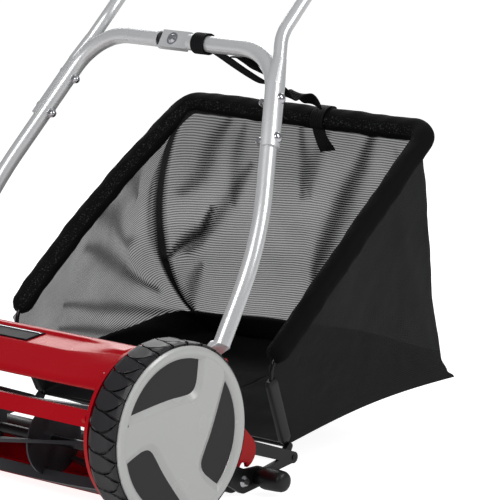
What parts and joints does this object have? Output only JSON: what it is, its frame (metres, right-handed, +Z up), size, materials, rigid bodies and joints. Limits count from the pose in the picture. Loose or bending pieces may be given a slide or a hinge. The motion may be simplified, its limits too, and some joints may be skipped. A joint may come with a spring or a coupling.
{
  "type": "reel mower",
  "caption": "Hand-pushed reel mower with a geared cylinder of blades, rear roller, two-part tube handle and a cloth grass catcher hung from the handle by a strap.",
  "frame": {"origin": "on the ground, midway between the two wheels, straight below the wheel axle", "axes": "+Z up, -Y to the front where the reel takes in the grass, +X to the left of the person who pushes"},
  "size_m": [0.572, 0.9304, 1.0067],
  "materials": {
    "red_paint": "gloss",
    "silver_paint": "satin",
    "black_paint": "satin",
    "label": "gloss",
    "wheel_grey": "satin",
    "dark_plastic": "matte",
    "black_plastic": "satin",
    "tyre": "matte",
    "steel": "satin",
    "blade_steel": "satin",
    "bright_steel": "polished",
    "bronze": "satin",
    "foam": "matte",
    "hem_cloth": "matte",
    "mesh_cloth": "matte",
    "floor_cloth": "satin",
    "webbing": "matte"
  },
  "bodies": {
    "mower": {"side_plate_left": "red_paint", "side_plate_right": "red_paint", "deck_cover": "red_paint", "deck_inset": "label", "front_bar": "red_paint", "plate_screws": "steel", "bearing_housing_left": "black_plastic", "bearing_housing_right": "black_plastic", "reel_bearings": "steel", "stub_axles": "steel", "axle_nuts": "steel", "axle_washers": "steel", "handle_pivots": "bright_steel", "handle_stops": "steel", "bracket_pivots": "bright_steel", "catcher_arm_left": "black_paint", "catcher_arm_right": "black_paint", "knife_pins": "steel"},
    "wheel_left": {"wheel_hub_left": "dark_plastic", "ring_gear_left": "dark_plastic", "tyre_left": "tyre", "wheel_cover_left": "wheel_grey", "wheel_bush_left": "bronze"},
    "wheel_right": {"wheel_hub_right": "dark_plastic", "ring_gear_right": "dark_plastic", "tyre_right": "tyre", "wheel_cover_right": "wheel_grey", "wheel_bush_right": "bronze"},
    "reel": {"reel_shaft": "steel", "reel_discs": "blade_steel", "reel_blades": "blade_steel", "pinions": "steel", "shaft_circlips": "steel"},
    "knife": {"knife_carrier": "red_paint", "bedknife": "blade_steel", "knife_screws": "steel"},
    "roller_unit": {"roller_bracket_left": "black_paint", "roller_bracket_right": "black_paint", "roller_shaft": "bright_steel", "height_grips": "black_plastic"},
    "roller": {"roller": "black_plastic", "roller_bushes": "bronze"},
    "handle": {"lower_handle_left": "silver_paint", "lower_handle_right": "silver_paint", "upper_handle": "silver_paint", "foam_grip": "foam", "handle_bolts": "bright_steel", "handle_nuts": "bright_steel", "centre_bolt": "bright_steel", "centre_nut": "bright_steel"},
    "strap": {"strap_loop": "webbing", "strap_band": "webbing"},
    "catcher": {"catcher_frame": "steel", "catcher_hem": "hem_cloth", "catcher_mesh": "mesh_cloth", "catcher_floor": "floor_cloth", "catcher_lugs": "steel", "clip_strips": "black_plastic", "strap_patch": "webbing"}
  },
  "joints": [
    {"name": "wheel_spin_left", "type": "hinge", "parent": "mower", "child": "wheel_left", "pos_m": [0, 0, 0.105], "axis": [1, 0, 0], "continuous": true},
    {"name": "wheel_spin_right", "type": "hinge", "parent": "mower", "child": "wheel_right", "pos_m": [0, 0, 0.105], "axis": [1, 0, 0], "continuous": true},
    {"name": "reel_spin", "type": "hinge", "parent": "mower", "child": "reel", "pos_m": [0, 0.01539, 0.06271], "axis": [1, 0, 0], "continuous": true},
    {"name": "knife_adjust", "type": "hinge", "parent": "mower", "child": "knife", "pos_m": [0, 0.0781, 0.0315], "axis": [1, 0, 0], "range_deg": [0, 1.5]},
    {"name": "height_adjust", "type": "hinge", "parent": "mower", "child": "roller_unit", "pos_m": [0, 0.119, 0.0335], "axis": [1, 0, 0], "range_deg": [0, 24]},
    {"name": "roller_spin", "type": "hinge", "parent": "roller_unit", "child": "roller", "pos_m": [0, 0.152, 0.0165], "axis": [1, 0, 0], "continuous": true},
    {"name": "handle_fold", "type": "hinge", "parent": "mower", "child": "handle", "pos_m": [0, 0.104, 0.155], "axis": [1, 0, 0], "range_deg": [0, 30]},
    {"name": "catcher_tilt", "type": "hinge", "parent": "mower", "child": "catcher", "pos_m": [0, 0.248, 0.026], "axis": [1, 0, 0], "range_deg": [0, 26.5]},
    {"name": "strap_swing", "type": "hinge", "parent": "handle", "child": "strap", "pos_m": [0, 0.30186, 0.49224], "axis": [1, 0, 0], "range_deg": [-23.4, 0]}
  ],
  "couplings": [
    {"joint": "wheel_spin_right", "follows": "wheel_spin_left", "ratio": 1},
    {"joint": "reel_spin", "follows": "wheel_spin_left", "ratio": 4},
    {"joint": "catcher_tilt", "follows": "handle_fold", "ratio": 0.874},
    {"joint": "strap_swing", "follows": "handle_fold", "ratio": -0.77}
  ]
}
